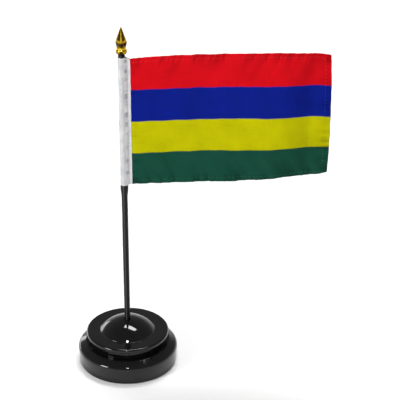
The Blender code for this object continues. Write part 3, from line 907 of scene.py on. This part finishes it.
def sleeve(look):
    section = sleeve_section()
    lengths = [0.0]
    for (_, before, _), (_, corner, _) in zip(section, section[1:]):
        lengths.append(lengths[-1] + (corner - before).length)
    columns = [(*corner, run) for corner, run in zip(section, lengths)]
    count = round(HOIST / (0.55 * MM))
    rows = [HOIST * step / count for step in range(count + 1)]

    def point(column, up):
        pinched, puffed, side, run = column
        spot = pinched.lerp(puffed, puff(up, side))
        outward = Vector((0, side)) if side else spot.normalized()
        near_tube = 1.0 if spot.x < 3.4 * MM else 0.25
        broad = Vector((spot.x / (3 * MM), side * 3.0 + spot.y / (4 * MM), up / (9 * MM)))
        fine = Vector((spot.x / (2 * MM), spot.y / (2 * MM), up / (3.5 * MM)))
        slack = 0.22 * MM * noise.noise(broad) + 0.1 * MM * noise.noise(fine)
        spot = spot + outward * slack * near_tube
        margin = max(0.0, (spot.x - 2.4 * MM) / (MARGIN_END - 2.4 * MM))
        flutter = 0.16 * MM * max(0.0, (spot.x - 4.6 * MM) / (1.4 * MM)) * wander(up, 61.7, 4.2 * MM)
        edge = 0.12 * MM * margin * wander(up, 5.5 + side, 4.2 * MM)
        end = math.exp(-min(up, HOIST - up) / (2.5 * MM))
        height = sleeve_low.z + up + 0.3 * MM * end * wander(run, 12.3 if up < HOIST / 2 else 19.7, 3.5 * MM)
        if up > HOIST / 2:
            height -= (1.7 if side < 0 else 1.2) * MM * end * margin
        return Vector((spot.x + edge, spot.y + flutter, height))

    def cut(column, up):
        return Vector((column[3], up, 0))

    def painted_light_and_shade(column, up):
        pinched, _, side, _ = column
        # Painted shade: even on the tube, a dark line along the seam, and blotches beside it where the
        # sleeve is pinched.
        if not side:
            return TUBE_SHADE
        beside_seam = bell(pinched.x, 2.8 * MM, 1.1 * MM)
        seam = 0.25 * bell(pinched.x, 3.9 * MM, 0.3 * MM)
        return seam + 1.7 * beside_seam * max(0.0, 0.5 - puff(up, side))

    mesh = sheet_mesh(columns, rows, point, cut, painted_light_and_shade)
    obj = piece("satin_sleeve", mesh, look, "flag", ["pole_sleeve"], smooth=60)
    solid(obj, SLEEVE_CLOTH)
    return obj, lengths[-1]


def add_stitch(mesh, layer, start, end, radius, cut_height):
    """A short thread from start to end, thinner where it dives into the cloth."""
    run = end - start
    turn = run.to_track_quat("Z", "Y").to_matrix()
    rings = []
    for share, width in ((0.0, 0.35), (0.18, 0.9), (0.5, 1.0), (0.82, 0.9), (1.0, 0.35)):
        ring = []
        for side in range(6):
            angle = math.radians(60 * side)
            offset = turn @ Vector((radius * width * math.cos(angle), radius * width * math.sin(angle), 0))
            vert = mesh.verts.new(start + run * share + offset)
            vert[layer] = Vector((0, cut_height, 0))
            ring.append(vert)
        rings.append(ring)
    for lower, upper in zip(rings, rings[1:]):
        for side in range(6):
            after = (side + 1) % 6
            mesh.faces.new((lower[side], lower[after], upper[after], upper[side]))
    mesh.faces.new(rings[0][::-1])
    mesh.faces.new(rings[-1])


def hem_stitches(look):
    """Front and back rows of stitches along the three hems."""
    mesh = bmesh.new()
    layer = mesh.verts.layers.float_vector.new("cut")
    end = CLOTH_LENGTH - FLY_SEAM_IN
    runs = [
        ((STITCH_START, HOIST - SEAM_IN), (end, HOIST - SEAM_IN)),
        ((end, HOIST - SEAM_IN), (end, SEAM_IN)),
        ((STITCH_START, SEAM_IN), (end, SEAM_IN)),
    ]
    front = -(CLOTH / 2 + 0.3 * STITCH_RADIUS)
    behind = 2 * FOLD_RADIUS + CLOTH / 2 + 0.3 * STITCH_RADIUS
    for (out0, up0), (out1, up1) in runs:
        length = math.hypot(out1 - out0, up1 - up0)
        count = int(length / STITCH_PITCH)
        for number in range(count):
            low = number * STITCH_PITCH / length
            high = low + STITCH_LENGTH / length
            for offset in (front, behind):
                ends = []
                for share in (low, high):
                    out, up = out0 + (out1 - out0) * share, up0 + (up1 - up0) * share
                    ends.append(hang(out, up) + Vector((0, offset, 0)))
                add_stitch(mesh, layer, *ends, STITCH_RADIUS, up0 + (up1 - up0) * low)
    return piece("hem_stitches", mesh, look, "flag", ["hem_thread"], smooth=70)


def sleeve_stitches(look):
    mesh = bmesh.new()
    layer = mesh.verts.layers.float_vector.new("cut")
    out = MARGIN_HALF + SLEEVE_CLOTH / 2 + 0.4 * STITCH_RADIUS
    count = int((HOIST - 2 * SEAM_END) / STITCH_PITCH)
    for number in range(count):
        low = sleeve_low.z + SEAM_END + number * STITCH_PITCH
        for side in (-out, out):
            start = Vector((SLEEVE_SEAM, side, low))
            add_stitch(mesh, layer, start, start + Vector((0, 0, STITCH_LENGTH)), STITCH_RADIUS, low)
    return piece("sleeve_stitches", mesh, look, "flag", ["sleeve_thread"], smooth=70)


# ---------------------------------------------------------------- scene


def dress_cad_node(name, look):
    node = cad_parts[name]
    node.data.materials.clear()
    node.data.materials.append(look)


def floor():
    look = Look("floor", Roughness=0.75)
    look.shader.inputs["Specular IOR Level"].default_value = 0.2
    grain = look.noise(look.place(), 3, 2)
    look.link(look.ramp(grain, [(0.3, (0.9, 0.9, 0.9, 1)), (0.7, (0.92, 0.92, 0.92, 1))]), "Base Color")
    distance = look.node("ShaderNodeVectorMath", {0: look.place()}, operation="LENGTH").outputs["Value"]
    look.shader.inputs["Emission Color"].default_value = (1, 1, 1, 1)
    look.link(look.spread(distance, 0.0, FAR_FLOOR_GLOW, GLOW_START, GLOW_END), "Emission Strength")
    bpy.ops.mesh.primitive_plane_add(size=FLOOR_SIZE, location=(0, 0, 0))
    plane = bpy.context.object
    plane.name = "floor"
    plane.data.materials.append(look.material)


def surroundings():
    """A white room that is darker overhead, as a studio is."""
    world = bpy.data.worlds.new("studio")
    bpy.context.scene.world = world
    world.use_nodes = True
    tree = world.node_tree
    direction = tree.nodes.new("ShaderNodeTexCoord")
    axes = tree.nodes.new("ShaderNodeSeparateXYZ")
    ramp = tree.nodes.new("ShaderNodeValToRGB")
    tree.links.new(direction.outputs["Generated"], axes.inputs[0])
    tree.links.new(axes.outputs["Z"], ramp.inputs["Fac"])
    tree.links.new(ramp.outputs["Color"], tree.nodes["Background"].inputs["Color"])
    elements = ramp.color_ramp.elements
    while len(elements) < len(ROOM_GREYS):
        elements.new(0.5)
    for element, (position, grey) in zip(elements, ROOM_GREYS):
        element.position = position
        element.color = (grey, grey, grey, 1)
    tree.nodes["Background"].inputs["Strength"].default_value = 1.0


def softbox(name, place, target, width, height, power):
    light = bpy.data.lights.new(name, "AREA")
    light.shape = "RECTANGLE"
    light.size, light.size_y = width, height
    light.energy = power
    obj = bpy.data.objects.new(name, light)
    obj.location = place
    obj.rotation_euler = (Vector(target) - Vector(place)).to_track_quat("-Z", "Y").to_euler()
    bpy.context.scene.collection.objects.link(obj)


def camera():
    data = bpy.data.cameras.new("camera")
    data.lens = CAMERA_LENS
    obj = bpy.data.objects.new("camera", data)
    middle_x = (cad_low.x + cad_high.x) / 2
    obj.location = (middle_x, -CAMERA_FRONT, CAMERA_HEIGHT)
    target = Vector((middle_x, 0, CAMERA_TARGET_HEIGHT))
    obj.rotation_euler = (target - obj.location).to_track_quat("-Z", "Y").to_euler()
    bpy.context.scene.collection.objects.link(obj)
    bpy.context.scene.camera = obj


def main():
    bpy.context.scene.view_settings.view_transform = "Standard"
    camera()
    floor()
    surroundings()
    for box in SOFTBOXES:
        softbox(*box)

    gloss = moulded("black_gloss", (0.0035, 0.0035, 0.0038, 1), 0.06, 0.02 * MM, 0.45)
    satin = moulded("black_satin", (0.004, 0.004, 0.0045, 1), 0.24, 0.03 * MM, 0.16)
    moulded_body(gloss)
    moulded_cap(gloss)
    moulded_staff(satin)
    spear_finial(gilt())
    panel = flag(printed_cloth())
    tube, girth = sleeve(white_satin())
    hem = hem_stitches(hem_thread_material())
    seam = sleeve_stitches(thread_material("sewing_thread", srgb(222, 222, 226)))

    dress_cad_node("felt_pad", felt())
    dress_cad_node("bottom_plate", satin)
    dress_cad_node("ballast_ring", iron())


main()
